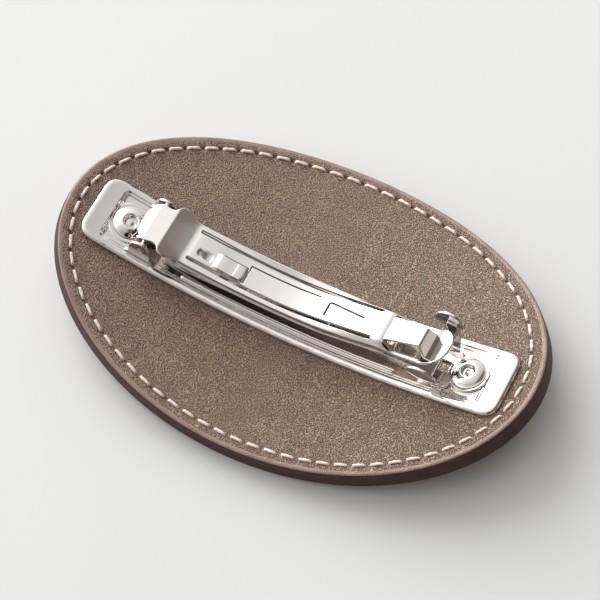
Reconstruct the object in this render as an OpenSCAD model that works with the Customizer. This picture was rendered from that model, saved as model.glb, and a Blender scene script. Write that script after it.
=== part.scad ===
// Oval leather hair barrette, lying on its bulging front with the metal clip up.
// +X runs along the clip from the hinge to the catch, +Z is up, and the origin is on the
// ground under the middle of the oval. Everything is bent about one axis parallel to Y, so
// most places are given as s, the distance along the bent leather, y, and h, the height
// above the leather's back face.

/* [Leather] */
// Length of the oval, measured along the bend
oval_l = 88.8; // [80:0.1:100]
// Width of the oval
oval_w = 57.6; // [46:0.1:64]
// Radius of the bend at the leather's back face
bend_r = 124; // [110:1:180]
// Thickness of the back layer
back_t = 1.9; // [1.4:0.1:2.2]
// Thickness of the front layer
front_t = 2.05; // [1.6:0.05:2.4]
// Radius of the rubbed and painted edge
edge_r = 0.6; // [0.3:0.1:0.9]
// How far the clip is riveted off the middle of the oval
clip_y = -0.9; // [-2:0.1:2]
// How far the oval is turned against the clip, in degrees
oval_turn = 0.8; // [-2:0.1:2]

/* [Base plate] */
// Length of the clip's base plate, measured along the bend
plate_l = 80; // [76:0.5:82]
// Width of the base plate
plate_w = 12.7; // [12.4:0.1:13.5]
// Height of the plate's flat border above the leather
plate_h = 0.95; // [0.8:0.05:1.1]
// Height of the sunk floor inside the border
floor_h = 0.5; // [0.4:0.05:0.6]
// Radius of the plate's corners
plate_corner_r = 2.9; // [2:0.1:3.5]
// Length of the sunk floor
sunk_l = 72.8; // [72:0.2:73.6]
// Width of the sunk floor
sunk_w = 10.3; // [10.2:0.1:10.5]

/* [Hinge] */
// Distance of the hinge pin from the middle, along the bend
hinge_s = -28.5; // [-28.8:0.1:-28.2]
// Height of the hinge pin
hinge_h = 3.7; // [3.6:0.1:3.9]
// Diameter of the hinge pin
pin_d = 1.2; // [1:0.1:1.4]
// Radius of the rounded ears that carry the pin
ear_r = 2.1; // [1.9:0.1:2.2]
// Radius of the arm's knuckle round the pin
knuckle_r = 2.5; // [2.3:0.1:2.6]

/* [Arm] */
// Height of the arm's top face at its edges
arm_h = 6.1; // [6:0.1:6.4]
// Thickness of the arm's sheet
arm_t = 0.6; // [0.5:0.05:0.7]
// Width of the arm at the hinge
arm_w = 8.1; // [7.9:0.1:8.2]
// Width of the arm at the catch
arm_end_w = 7; // [6.8:0.1:7.4]
// How far the arm's flanges reach down below its top face
flange_d = 1.8; // [1.4:0.1:1.8]
// Width of the middle panel
panel_w = 4.9; // [4.6:0.1:5]
// Width of the two long slots beside the panel
slot_w = 0.65; // [0.5:0.05:0.7]
// Height of the ridge across the hood
crease_h = 6.7; // [6.4:0.1:7]
// Height of the bridge's front edge
bridge_h = 8.75; // [8:0.05:9]
// Angle by which the finger tip is turned up from the arm
tip_flare = 33; // [25:1:40]

/* [Spring and catch] */
// Thickness of the leaf spring under the arm
leaf_t = 0.35; // [0.3:0.05:0.4]
// Width of the leaf spring
leaf_w = 6.2; // [5.8:0.1:6.2]
// Thickness of the catch's sheet
catch_t = 0.5; // [0.4:0.05:0.6]
// Distance of each rivet from the middle, along the bend
rivet_s = 32.7; // [32.5:0.1:32.9]
// Diameter of a rivet's domed head
rivet_d = 6; // [5.4:0.1:6]
// Diameter of the hole in a rivet's head
rivet_hole_d = 2.1; // [1.8:0.1:2.3]

/* [Hidden] */
seat_gap = 0.04;
slip = 0.04;
leather_t = back_t + seat_gap + front_t;
axis_z = leather_t + bend_r;
fine = 180;
round_fn = 48;
edge_sides = 96;
shank_d = 2.9;
boss_r = 3.9;
boss_lift = 0.12;
rib_w = 0.6;
rib_h = 0.3;
rib_y = 3.95;
rib_l = 40;
ear_y = 4.5;
ear_t = 0.45;
cheek_y = 3.1;
cheek_t = 0.5;
hood_end_s = -21.1;
slot_s0 = -20.6;
slot_s1 = 16.2;
tip_s0 = 19.5;
tip_s1 = 26.6;
tip_w = 7;
catch_h = floor_h + boss_lift + slip;
metal = [0.83, 0.83, 0.84];
hide_back = [0.50, 0.43, 0.38];
hide_front = [0.47, 0.40, 0.36];

// Angle round the bend, in degrees, at a distance s along it
function turn(s) = s / bend_r * 180 / PI;

// Point in the part's frame for a place given along the bend
function place(s, y, h) = [(bend_r - h) * sin(turn(s)), y, axis_z - (bend_r - h) * cos(turn(s))];

// Plan distance from the middle of a place on the bend
function plan_x(s, h = 0) = (bend_r - h) * sin(turn(s));

// The same outline points on the other side of the middle line, in the other order
function other_side(points) = [for (i = [len(points) - 1 : -1 : 0]) [points[i][0], -points[i][1]]];

// Every piece of the clip stands beside the middle of the oval by the same distance
module on_clip() {
    translate([0, clip_y, 0]) children();
}

// Children are drawn flat, x along the clip and z up from the leather, and set on the bend at s
module on_bend(s) {
    translate([0, 0, axis_z]) rotate([0, -turn(s), 0]) translate([0, 0, -bend_r]) children();
}

// Shell between two heights above the leather, as wide as w
module bent_band(h0, h1, w) {
    translate([0, 0, axis_z]) rotate([90, 0, 0]) difference() {
        cylinder(h = w, r = bend_r - h0, center = true, $fn = fine);
        cylinder(h = w + 1, r = bend_r - h1, center = true, $fn = fine);
    }
}

// Sheet between two heights, as wide and long as the plan drawing of the children
module bent_sheet(h0, h1) {
    intersection() {
        bent_band(h0, h1, plate_w + 4);
        linear_extrude(bend_r / 2) children();
    }
}

// Piece of sheet between two heights, two distances along the bend and two sides
module bent_strip(h0, h1, s0, s1, y0, y1) {
    bent_sheet(h0, h1) translate([plan_x(s0, h1), y0]) square([plan_x(s1, h1) - plan_x(s0, h1), y1 - y0]);
}

// Flat rectangle with round corners, centred
module round_rect(l, w, r) {
    square([l - 2 * r, w], center = true);
    square([l, w - 2 * r], center = true);
    for (sx = [-1, 1], sy = [-1, 1])
        translate([sx * (l / 2 - r), sy * (w / 2 - r)]) circle(r = r, $fn = round_fn);
}

// Side view drawn with x along the clip and y as height, pushed out to a width w about y_mid
module side_cut(w, y_mid = 0) {
    translate([0, y_mid + w / 2, 0]) rotate([90, 0, 0]) linear_extrude(w) children();
}

// One layer of leather between two heights. round_low and round_high say which of its faces
// has a rubbed edge. Each level of the rim is [how far it is drawn in, its height].
module leather_layer(h_low, h_high, round_low, round_high) {
    steps = [0, 30, 60, 90];
    low_rim = round_low
        ? [for (a = steps) [edge_r * (1 - sin(a)), h_low + edge_r * (1 - cos(a))]]
        : [[0, h_low]];
    high_rim = round_high
        ? [for (a = steps) [edge_r * (1 - cos(a)), h_high - edge_r * (1 - sin(a))]]
        : [[0, h_high]];
    rim = concat(low_rim, high_rim);
    n = edge_sides;
    levels = len(rim);
    function rim_point(level, angle) =
        let (l = (oval_l / 2 - level[0]) * cos(angle), w = (oval_w / 2 - level[0]) * sin(angle))
        place(l * cos(oval_turn) - w * sin(oval_turn), l * sin(oval_turn) + w * cos(oval_turn),
              level[1]);
    // Each face is filled by strips that run across it, because the bend is about Y
    function strip(k, i) =
        let (a = k * n + i, b = k * n + i + 1, c = k * n + (n - i - 1) % n, d = k * n + (n - i) % n)
        i == 0 ? [[a, b, c]] : i == n / 2 - 1 ? [[a, b, d]] : [[a, b, c], [a, c, d]];
    function flipped(face) = [for (j = [len(face) - 1 : -1 : 0]) face[j]];
    points = [for (level = rim, i = [0 : n - 1]) rim_point(level, i * 360 / n)];
    walls = [for (k = [0 : levels - 2], i = [0 : n - 1])
        [k * n + i, (k + 1) * n + i, (k + 1) * n + (i + 1) % n, k * n + (i + 1) % n]];
    low_face = [for (i = [0 : n / 2 - 1], face = strip(0, i)) face];
    high_face = [for (i = [0 : n / 2 - 1], face = strip(levels - 1, i)) flipped(face)];
    polyhedron(points, concat(walls, low_face, high_face), convexity = 4);
}

module leather_front() {
    color(hide_front) leather_layer(-leather_t, -back_t - seat_gap, true, false);
}

module leather_back() {
    color(hide_back) difference() {
        leather_layer(-back_t, 0, false, true);
        for (side = [-1, 1])
            on_clip() on_bend(side * rivet_s) translate([0, 0, -back_t - 1])
                cylinder(h = back_t + 2, d = shank_d + 0.1, $fn = round_fn);
    }
}

// Upright ear with a round top, a wider foot and a hole for the hinge pin
module hinge_ear(side) {
    root_h = floor_h - 0.2;
    foot_w = 2 * ear_r + 1.2;
    foot_top = 1.15;
    on_bend(hinge_s) side_cut(ear_t, side * (ear_y + ear_t / 2)) difference() {
        union() {
            translate([0, hinge_h]) circle(r = ear_r, $fn = round_fn);
            translate([-ear_r, root_h]) square([2 * ear_r, hinge_h - root_h]);
            translate([-foot_w / 2, root_h]) square([foot_w, foot_top - root_h]);
        }
        translate([0, hinge_h]) circle(d = pin_d + 0.04, $fn = round_fn);
    }
}

module base_plate() {
    color(metal) on_clip() difference() {
        union() {
            difference() {
                bent_sheet(seat_gap, plate_h)
                    round_rect(2 * plan_x(plate_l / 2), plate_w, plate_corner_r);
                bent_sheet(floor_h, plate_h + 2) round_rect(2 * plan_x(sunk_l / 2), sunk_w, 1);
            }
            // Raised boss round each rivet, and two long ribs that stiffen the floor
            for (side = [-1, 1]) {
                on_bend(side * rivet_s) translate([0, 0, floor_h - 0.2])
                    cylinder(h = 0.2 + boss_lift, r = boss_r, $fn = fine);
                bent_strip(floor_h - 0.2, floor_h + rib_h, -rib_l / 2, rib_l / 2,
                           side * rib_y - rib_w / 2, side * rib_y + rib_w / 2);
                hinge_ear(side);
            }
        }
        for (side = [-1, 1])
            on_bend(side * rivet_s) translate([0, 0, -1])
                cylinder(h = 4, d = shank_d + 0.1, $fn = round_fn);
    }
}

// Plain pin, flush with the outside of both ears
module hinge_pin() {
    color(metal) on_clip() on_bend(hinge_s) translate([0, 0, hinge_h]) rotate([90, 0, 0])
        cylinder(h = 2 * (ear_y + ear_t), d = pin_d, center = true, $fn = round_fn);
}

// Side view of the hood, x from the pin: a round knuckle, a rise to the crease, then a fall
module hood_side() {
    lip_drop = 0.8;
    rise_x = -0.4;
    crease_x = 2.45;
    rise_h = hinge_h + knuckle_r - 0.03;
    end_x = hood_end_s - hinge_s;
    end_h = arm_h + 0.05;
    difference() {
        translate([0, hinge_h]) circle(r = knuckle_r, $fn = fine);
        translate([0, hinge_h]) circle(r = knuckle_r - arm_t, $fn = fine);
        // Only the part between the lip and the start of the rise is kept
        polygon([[-2 * knuckle_r, hinge_h - 2 * lip_drop], [0, hinge_h], [rise_x, rise_h + 1],
                 [2 * knuckle_r, rise_h + 1], [2 * knuckle_r, 0], [-2 * knuckle_r, 0]]);
    }
    polygon([[rise_x, rise_h], [crease_x, crease_h], [end_x, end_h], [end_x, end_h - arm_t],
             [crease_x, crease_h - arm_t], [rise_x, rise_h - arm_t]]);
}

// Plan of the hood, x from the pin: rounded lip, a waist before the crease, then the wings
module hood_plan() {
    end_y = arm_w / 2 - 0.04;
    edge = [[-2.6, 1.2], [-2.42, 1.7], [-2.2, 2.25], [-1.9, 2.8], [-1.5, 3.25], [-1.0, 3.6],
            [-0.4, 3.8], [0.2, 3.75], [1.0, 3.6], [1.7, 3.62], [2.25, 3.85], [2.7, 4.45],
            [3.2, 4.8], [3.9, 4.95], [4.6, 4.85], [5.3, 4.55], [5.9, 4.2], [6.5, end_y],
            [7.6, end_y]];
    polygon(concat(edge, other_side(edge)));
}

module hood() {
    cheek_r = 1.75;
    on_bend(hinge_s) {
        intersection() {
            side_cut(2 * plate_w) hood_side();
            linear_extrude(2 * arm_h) hood_plan();
        }
        // Cheeks that hang from the hood on either side and turn on the pin
        for (side = [-1, 1])
            side_cut(cheek_t, side * (cheek_y + cheek_t / 2)) difference() {
                union() {
                    translate([0, hinge_h]) circle(r = cheek_r, $fn = round_fn);
                    polygon([[-cheek_r, hinge_h], [cheek_r, hinge_h - 0.2], [3.6, hinge_h + 1.6],
                             [3.6, crease_h - 0.6], [2.4, crease_h - 0.3], [-0.4, hinge_h + 2.2],
                             [-1.6, hinge_h + 1.2]]);
                }
                translate([0, hinge_h]) circle(d = pin_d + 0.12, $fn = round_fn);
            }
    }
}

// Rows of the arm's sheet: [distance along the bend, share of the narrowing from arm_w to
// arm_end_w, height of the edges over arm_h, height of the middle over arm_h, share of flange_d].
// The middle sags between the rails and rises towards the bridge.
ARM_ROWS = [[-22.1, 0, 0, 0.05, 0.4], [-21.3, 0, 0, 0.2, 1], [-20, 0, 0, 0.7, 1],
            [-16.5, 0, 0, 0.2, 1], [-13, 0, 0, -0.2, 1], [-9, 0, 0, -0.5, 1], [-4, 0, 0, -0.6, 1],
            [0, 0, 0, -0.5, 1], [5, 0, 0, 0, 1], [10, 0.25, 0.1, 0.75, 1],
            [15.8, 0.65, 0.3, 1.55, 1], [18.2, 0.75, 0.3, 1.8, 0.9], [19.2, 0.85, 0.2, 1.1, 0.45],
            [20.3, 0.94, -0.2, -0.2, 0.4]];

// Height of the middle of the arm's top face at a distance s along the bend
function middle_h(s) = arm_h + lookup(s, [for (row = ARM_ROWS) [row[0], row[3]]]);

// Channel of the arm: a flat middle, a rail on either side and a flange down from each rail
module arm_sheet() {
    flange_t = 0.3;
    fold_gap = 0.06;
    function half_section(row) =
        let (w = (arm_w + row[1] * (arm_end_w - arm_w)) / 2, edge = arm_h + row[2],
             low = edge - row[4] * flange_d, mid_y = panel_w / 2 + slot_w + fold_gap)
        [[mid_y, arm_h + row[3] - arm_t], [w - flange_t, edge - arm_t], [w - flange_t, low],
         [w, low], [w, edge], [mid_y, arm_h + row[3]]];
    function section(row) = let (half = half_section(row))
        concat(half, [for (i = [len(half) - 1 : -1 : 0]) [-half[i][0], half[i][1]]]);
    points = [for (row = ARM_ROWS, p = section(row)) place(row[0], p[0], p[1])];
    n = 12;
    last = (len(ARM_ROWS) - 1) * n;
    walls = [for (k = [0 : len(ARM_ROWS) - 2], i = [0 : n - 1])
        let (a = k * n + i, b = k * n + n + i, c = k * n + n + (i + 1) % n, d = k * n + (i + 1) % n)
        each [[a, b, c], [a, c, d]]];
    // Each end is filled by five four-sided faces: the middle, two rails and two flanges
    end_faces = [[0, 5, 6, 11], [0, 1, 4, 5], [1, 2, 3, 4], [11, 6, 7, 10], [10, 7, 8, 9]];
    far_faces = [for (f = end_faces) [last + f[3], last + f[2], last + f[1], last + f[0]]];
    polyhedron(points, concat(walls, end_faces, far_faces), convexity = 6);
}

// Raised pad with a slope at each end, pressed up out of the middle of the arm
module panel_pad() {
    pad_s = -12.9;
    pad_lift = 0.55;
    sink = 0.3;
    dip = 0.03;
    s0 = pad_s - 3;
    s1 = pad_s + 3.1;
    on_bend(pad_s) side_cut(2.9, -0.75) polygon([
        [-3, middle_h(s0) - sink], [-3, middle_h(s0) - dip],
        [-1.6, middle_h(pad_s - 1.6) + pad_lift], [1, middle_h(pad_s + 1) + pad_lift],
        [3.1, middle_h(s1) - dip], [3.1, middle_h(s1) - sink]]);
}

// Cuts in the arm: two long slots, the hollow beside the pad, a long line with a cross line, and
// an L-shaped line that frees a small tongue
module arm_cuts() {
    cut = 0.25;
    low = arm_h - 2;
    high = arm_h + 3;
    hollow_s = -17.3;
    hollow_r = 0.8;
    hollow_l = 1;
    hollow_d = 0.3;
    for (y0 = [-panel_w / 2 - slot_w, panel_w / 2])
        bent_strip(low, high, slot_s0, slot_s1, y0, y0 + slot_w);
    on_bend(hollow_s) translate([0, -0.85, middle_h(hollow_s) - hollow_d]) linear_extrude(2) {
        circle(r = hollow_r, $fn = round_fn);
        translate([-hollow_l, -hollow_r / 2]) square([hollow_l, 1.5 * hollow_r]);
    }
    bent_strip(low, high, -9.7, 4.2, 1.35, 1.35 + cut);
    bent_strip(low, high, -9.7, -9.7 + cut, -2.1, 1.35 + cut);
    on_bend(10) translate([0, 0, low]) linear_extrude(high - low) {
        polygon([[-4, -1.6], [-4, 1.3], [-3.5, 1.3], [-3.5, -1.6]]);
        polygon([[-4, 1.3], [-3.5, 1.3], [3.4, 0.4], [3.4, 0.1], [-3.5, 0.85], [-4, 0.85]]);
    }
}

// Bridge over the catch window: it goes on from the middle of the arm and has a steep front
module bridge() {
    s0 = -4;
    half_plan = [[s0 - 1, 2.3], [-1.9, 2.2], [3.35, 1.8], [4.6, 2.7]];
    start_h = middle_h(22 + s0) - 0.04;
    on_bend(22) intersection() {
        side_cut(tip_w) polygon([
            [s0, start_h - arm_t], [s0, start_h], [-1.9, bridge_h - 0.5], [3.35, bridge_h],
            [4.5, arm_h], [4.5, arm_h - arm_t], [3.8, arm_h - arm_t], [2.9, bridge_h - 0.7],
            [-1.7, bridge_h - 1.1]]);
        linear_extrude(2 * arm_h) polygon(concat(half_plan, other_side(half_plan)));
    }
}

// Round finger tip, turned up from the end of the arm
module finger_tip() {
    tip_l = 4.5;
    tip_r = tip_w / 2;
    on_bend(tip_s1 - 0.2) translate([0, 0, arm_h - arm_t]) rotate([0, -tip_flare, 0])
        translate([-0.15, 0, 0]) linear_extrude(arm_t) {
            translate([tip_l - tip_r, 0]) intersection() {
                circle(r = tip_r, $fn = fine);
                translate([-1, -tip_r]) square([tip_r + 1, 2 * tip_r]);
            }
            translate([0, -tip_r]) square([tip_l - tip_r, 2 * tip_r]);
        }
}

module arm() {
    rail_low = arm_h - arm_t;
    window_w = 5.5;
    color(metal) on_clip() union() {
        hood();
        difference() {
            union() {
                arm_sheet();
                panel_pad();
            }
            arm_cuts();
        }
        difference() {
            bent_strip(rail_low, arm_h, tip_s0, tip_s1, -tip_w / 2, tip_w / 2);
            bent_strip(rail_low - 1, arm_h + 1, 20.6, 24.9, -window_w / 2, window_w / 2);
        }
        bridge();
        finger_tip();
    }
}

// Leaf spring from the hinge end to the catch. Each row is [distance along the bend, height of
// its underside].
module leaf_spring() {
    rows = [[-24.6, 0.58], [-22.4, 0.66], [-17, 1.2], [-12, 1.7], [-7, 2.2], [-2.5, 2.85],
            [3, 3.35], [8, 3.75], [12, 3.85], [17, 3.8], [21.5, 3.6], [24, 3.1], [25.6, 2.2],
            [27, 1.3]];
    low = [for (row = rows) place(row[0], 0, row[1])];
    high = [for (i = [len(rows) - 1 : -1 : 0]) place(rows[i][0], 0, rows[i][1] + leaf_t)];
    color(metal) on_clip() side_cut(leaf_w) polygon([for (p = concat(low, high)) [p[0], p[2]]]);
}

// One sprung side of the catch: a stem that leans out, and an oval press plate on top of it.
// Heights here are above the lowest point of the leather's back face.
module catch_side(side) {
    // Stem seen along the clip, [y, height], its outer face
    lean = [[4.0, 4.7], [5.1, 7.1], [5.45, 9.2]];
    inner = [for (i = [len(lean) - 1 : -1 : 0]) [lean[i][0] - catch_t, lean[i][1]]];
    foot = [[3.45, 3.5], [3.9, 3.5]];
    stem_side = [[26.4, 3.5], [28.8, 4.05], [28.6, 5.5], [28.1, 9.2], [24.5, 9.2], [26.2, 6]];
    pad_x = 25.65;
    pad_z = 8.95;
    pad_tilt = -5;
    top_arc_r = 2.95;
    low_arc_r = 3.9;
    mirror([0, side < 0 ? 1 : 0, 0]) translate([0, 0, leather_t]) {
        intersection() {
            rotate([90, 0, 90]) linear_extrude(bend_r / 4)
                polygon(concat(foot, lean, inner));
            side_cut(plate_w, plate_w / 2) polygon(stem_side);
        }
        translate([pad_x, 5.5, pad_z]) rotate([90 + pad_tilt, 0, 0])
            translate([0, 0, -catch_t / 2]) linear_extrude(catch_t) intersection() {
                translate([0, -0.6]) circle(r = top_arc_r, $fn = fine);
                translate([0, 2.6]) circle(r = low_arc_r, $fn = fine);
            }
    }
}

module catch() {
    color(metal) on_clip() union() {
        difference() {
            union() {
                on_bend(rivet_s) translate([0, 0, catch_h]) cylinder(h = catch_t, r = 3.4, $fn = fine);
                on_bend(29) translate([-2.1, -3.7, catch_h]) cube([3.2, 7.4, catch_t]);
                on_bend(29) translate([-2.1, -2.6, catch_h]) cube([4.6, 5.2, catch_t]);
            }
            on_bend(rivet_s) cylinder(h = 4, d = shank_d + 0.1, $fn = round_fn);
            on_bend(28.2) translate([-0.95, -1, 0]) cube([1.9, 2, 4]);
        }
        for (side = [-1, 1]) catch_side(side);
    }
}

// Rivet: a domed head over the height seat_h with a blind bore, and a shank down into the
// back layer
module rivet(seat_h) {
    dome_t = 1.3;
    dome_r = 4;
    bore_floor = seat_h + 0.05;
    rotate_extrude($fn = fine) difference() {
        union() {
            translate([0, seat_h]) intersection() {
                translate([0, dome_t - dome_r]) circle(r = dome_r, $fn = fine);
                square([rivet_d / 2, dome_t + 1]);
            }
            translate([0, 0.1 - back_t]) square([shank_d / 2, seat_h + back_t]);
        }
        translate([-1, bore_floor]) square([rivet_hole_d / 2 + 1, 2 * dome_t]);
    }
}

module rivet_hinge_end() {
    color(metal) on_clip() on_bend(-rivet_s) rivet(floor_h + boss_lift + slip);
}

module rivet_catch_end() {
    color(metal) on_clip() on_bend(rivet_s) rivet(catch_h + catch_t + slip);
}

leather_front();
leather_back();
base_plate();
hinge_pin();
arm();
leaf_spring();
catch();
rivet_hinge_end();
rivet_catch_end();
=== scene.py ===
# %% [markdown]
# # An oval leather barrette, seen from its back
# Two layers of leather are glued together, sewn and painted along the edge. A nickel-plated
# spring clip is riveted to the back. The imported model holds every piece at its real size. This
# notebook dresses it: each piece is rebuilt in its place with the small roundings, seams and
# pressed marks that make it look real.

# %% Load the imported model
from math import asin, atan2, ceil, cos, exp, hypot, pi, radians, sin, sqrt, tan, tau
import random
import bmesh
import bpy
from mathutils import Matrix, Vector, geometry, kdtree


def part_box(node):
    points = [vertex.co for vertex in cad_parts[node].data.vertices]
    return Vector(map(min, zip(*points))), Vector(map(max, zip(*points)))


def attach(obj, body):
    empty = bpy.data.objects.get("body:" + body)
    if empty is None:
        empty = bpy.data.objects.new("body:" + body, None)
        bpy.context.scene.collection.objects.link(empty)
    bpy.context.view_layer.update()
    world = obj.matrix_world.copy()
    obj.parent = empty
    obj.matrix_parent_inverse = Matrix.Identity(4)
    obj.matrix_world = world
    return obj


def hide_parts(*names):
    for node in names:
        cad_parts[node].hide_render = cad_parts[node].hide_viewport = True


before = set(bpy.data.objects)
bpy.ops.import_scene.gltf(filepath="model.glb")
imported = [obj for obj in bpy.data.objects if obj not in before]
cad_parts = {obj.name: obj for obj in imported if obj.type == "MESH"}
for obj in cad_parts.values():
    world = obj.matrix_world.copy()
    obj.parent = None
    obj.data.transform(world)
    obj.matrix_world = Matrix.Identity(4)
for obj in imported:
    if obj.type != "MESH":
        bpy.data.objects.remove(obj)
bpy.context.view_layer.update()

print("nodes:", sorted(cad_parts))

# %% [markdown]
# ## One bend for everything
# Leather and clip are bent together about one line across the barrette, high above it. So every
# place is given as on a flat workbench: s is the distance along the bend, y the distance across
# and h the height above the leather's back face, all in millimetres. One function bends it.

# %% Places on the bend
MM = 0.001
BEND_R = 124.0
FRONT_T = 2.05
GLUE_GAP = 0.04
BACK_T = 1.9
LEATHER_T = FRONT_T + GLUE_GAP + BACK_T
pin_low, pin_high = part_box("hinge_pin")
CLIP_Y = (pin_low[1] + pin_high[1]) / 2 / MM


def place(s, y, h):
    """Point in metres for a place along the bend, across it and above the leather."""
    turn = s / BEND_R
    reach = BEND_R - h
    return Vector((reach * sin(turn), y, LEATHER_T + BEND_R - reach * cos(turn))) * MM


def on_clip(s, y, h):
    """The same for the clip, which is riveted a little off the middle of the oval."""
    return place(s, y + CLIP_Y, h)


def on_bend(s0, x, y, z):
    """Point drawn on a flat board that touches the bend at s0, for upright pieces."""
    turn = s0 / BEND_R
    depth = BEND_R - z
    along = x * cos(turn) + depth * sin(turn)
    up = LEATHER_T + BEND_R + x * sin(turn) - depth * cos(turn)
    return Vector((along, y + CLIP_Y, up)) * MM


print("the clip stands", round(CLIP_Y, 2), "mm off the middle")

# %% [markdown]
# ## Camera
# The photograph was taken from well above, from a long distance, with the camera turned a
# little. The angle comes from fitting the corners of the base plate and the outline of the
# oval, so it is kept as it was measured.

# %% Camera
AZIMUTH = radians(29.84)
ELEVATION = radians(62.15)
ROLL = radians(-2.67)
DISTANCE = 0.3661
PICTURE = 600
back = Vector((sin(AZIMUTH) * cos(ELEVATION), -cos(AZIMUTH) * cos(ELEVATION), sin(ELEVATION)))
level = Vector((cos(AZIMUTH), sin(AZIMUTH), 0))
upright = back.cross(level)
right = level * cos(ROLL) + upright * sin(ROLL)
top = upright * cos(ROLL) - level * sin(ROLL)
camera_data = bpy.data.cameras.new("camera")
camera_data.lens = 129
camera_data.sensor_width = 36
camera_data.shift_x = 2.8 / PICTURE
camera_data.shift_y = 11.2 / PICTURE
camera = bpy.data.objects.new("camera", camera_data)
spot = Vector((0, CLIP_Y, LEATHER_T)) * MM + back * DISTANCE
camera.matrix_world = Matrix.Translation(spot) @ Matrix((right, top, back)).transposed().to_4x4()
bpy.context.scene.collection.objects.link(camera)
bpy.context.scene.camera = camera
print("camera at", [round(value, 4) for value in spot])

# %% [markdown]
# ## Materials
# Each finish is a small network of nodes round one Principled shader. A helper makes the
# material and the nodes, so that a finish reads as a recipe.

# %% Helpers for materials
def new_finish(name, colour, roughness, metallic=0.0, shine=0.5):
    """A material and its shader. shine is the level of its clear reflection."""
    finish = bpy.data.materials.new(name)
    finish.use_nodes = True
    shader = finish.node_tree.nodes["Principled BSDF"]
    shader.inputs["Base Color"].default_value = (*colour, 1)
    shader.inputs["Roughness"].default_value = roughness
    shader.inputs["Metallic"].default_value = metallic
    shader.inputs["Specular IOR Level"].default_value = shine
    return finish, shader


def node(finish, kind, **settings):
    """A node with its inputs and settings filled in, an underscore standing for a blank. An
    output of another node is joined to the input."""
    made = finish.node_tree.nodes.new(kind)
    for name, value in settings.items():
        socket = made.inputs.get(name.replace("_", " "))
        if isinstance(value, bpy.types.NodeSocket):
            join(finish, value, socket)
        elif socket is not None:
            socket.default_value = value
        else:
            setattr(made, name, value)
    return made


def join(finish, source, target):
    finish.node_tree.links.new(source, target)


# %% Ramps, noise and relief
def colour_ramp(finish, source, stops):
    """Colours or greys at given places of a value from 0 to 1."""
    ramp = node(finish, "ShaderNodeValToRGB", Fac=source)
    points = ramp.color_ramp.elements
    for index, (position, colour) in enumerate(stops):
        point = points[index] if index < len(points) else points.new(position)
        point.position = position
        point.color = (*colour, 1)
    return ramp.outputs["Color"]


def noise_value(finish, scale, detail, stretch=(1, 1, 1), turn=(0, 0, 0)):
    """A cloudy value from 0 to 1 that runs through the whole piece, like the figure in wood."""
    places = node(finish, "ShaderNodeTexCoord").outputs["Object"]
    laid = node(finish, "ShaderNodeMapping", Vector=places, Scale=stretch, Rotation=turn)
    clouds = node(finish, "ShaderNodeTexNoise", Vector=laid.outputs["Vector"], Scale=scale, Detail=detail)
    return clouds.outputs["Fac"]


def add_bump(finish, shader, height, strength, metres):
    relief = node(finish, "ShaderNodeBump", Height=height, Strength=strength, Distance=metres)
    join(finish, relief.outputs["Normal"], shader.inputs["Normal"])


def add_roughness(finish, shader, value, **ends):
    rough = node(finish, "ShaderNodeMapRange", Value=value, **ends)
    join(finish, rough.outputs["Result"], shader.inputs["Roughness"])


# %% [markdown]
# ### Leather
# The hide is a grey-brown calf with a very fine pressed grain: flat little plateaus with narrow
# valleys between them. Cells of a Voronoi pattern would look like a diagram here, so one fine
# noise gives the grain, and a ramp cuts it into plateaus and valleys. The dull valleys carry
# painted shade, a darker colour where the grain's relief would lie in shadow. The plateaus are
# lighter and shine a little, with a warm tint. A larger, faint noise keeps the colour from being
# flat. The smooth lip by the painted edge has darker tones, and it is pressed and rubbed, so it has almost
# no grain.

# %% Leather finish
GRAIN = 4500
PATCHES = 240
# Painted shade: the dark colour laid into the grain's valleys, where its relief would lie in shadow
PAINTED_VALLEY_SHADE = (0.072, 0.038, 0.024)
HIDE_MID = (0.300, 0.188, 0.131)
HIDE_LIGHT = (0.366, 0.234, 0.167)
# Darker tones for the lip between the face and the painted edge
LIP_LOW = (0.205, 0.116, 0.085)
LIP_HIGH = (0.300, 0.190, 0.148)
WARM_SHINE = (1.0, 0.92, 0.86, 1)
BLACK = (0, 0, 0)
GRAIN_RAMP = [(0.34, BLACK), (0.45, (0.6, 0.6, 0.6)), (0.62, (1, 1, 1))]


def leather_finish(name, low, high, painted_shade_share, grain_height):
    """Grained leather between two tones, with the share of painted shade in its valleys."""
    finish, shader = new_finish(name, low, 0.5, shine=1.0)
    shader.inputs["Specular Tint"].default_value = WARM_SHINE
    grain = colour_ramp(finish, noise_value(finish, GRAIN, 1.0), GRAIN_RAMP)
    tone = colour_ramp(finish, noise_value(finish, PATCHES, 4.0), [(0.35, low), (0.65, high)])
    # Mask of the painted shade: full in the valleys, none on the plateaus
    painted_shade_mask = colour_ramp(finish, grain, [(0.0, (painted_shade_share,) * 3), (1.0, BLACK)])
    mixed = node(finish, "ShaderNodeMix", data_type="RGBA")
    join(finish, painted_shade_mask, mixed.inputs["Factor"])
    join(finish, tone, mixed.inputs["A"])
    mixed.inputs["B"].default_value = (*PAINTED_VALLEY_SHADE, 1)
    join(finish, mixed.outputs["Result"], shader.inputs["Base Color"])
    add_roughness(finish, shader, grain, To_Min=0.54, To_Max=0.42)
    add_bump(finish, shader, grain, 1.0, grain_height)
    return finish


hide_back, hide_front = [leather_finish(name, HIDE_MID, HIDE_LIGHT, 1.0, 0.00036)
                         for name in ("hide_back", "hide_front")]
# The lip gets less painted shade in its valleys, and almost no relief
hide_lip = leather_finish("hide_lip", LIP_LOW, LIP_HIGH, 0.3, 0.00004)
print("leather in", len(hide_back.node_tree.nodes), "nodes")

# %% [markdown]
# ### Edge paint, thread and nickel
# The cut edge of both layers is rubbed and painted dark burgundy, with a soft shine. The thread
# is a waxed, twisted cream yarn. The clip is polished steel with nickel plate: what one sees on
# it is mostly the studio, so it needs almost no colour of its own, only a warm tint, hairline
# scratches and a very slight waviness from the press. The leaf spring under the arm looks darker
# on the photograph, so it has a duller nickel, which is less of a mirror.

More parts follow.
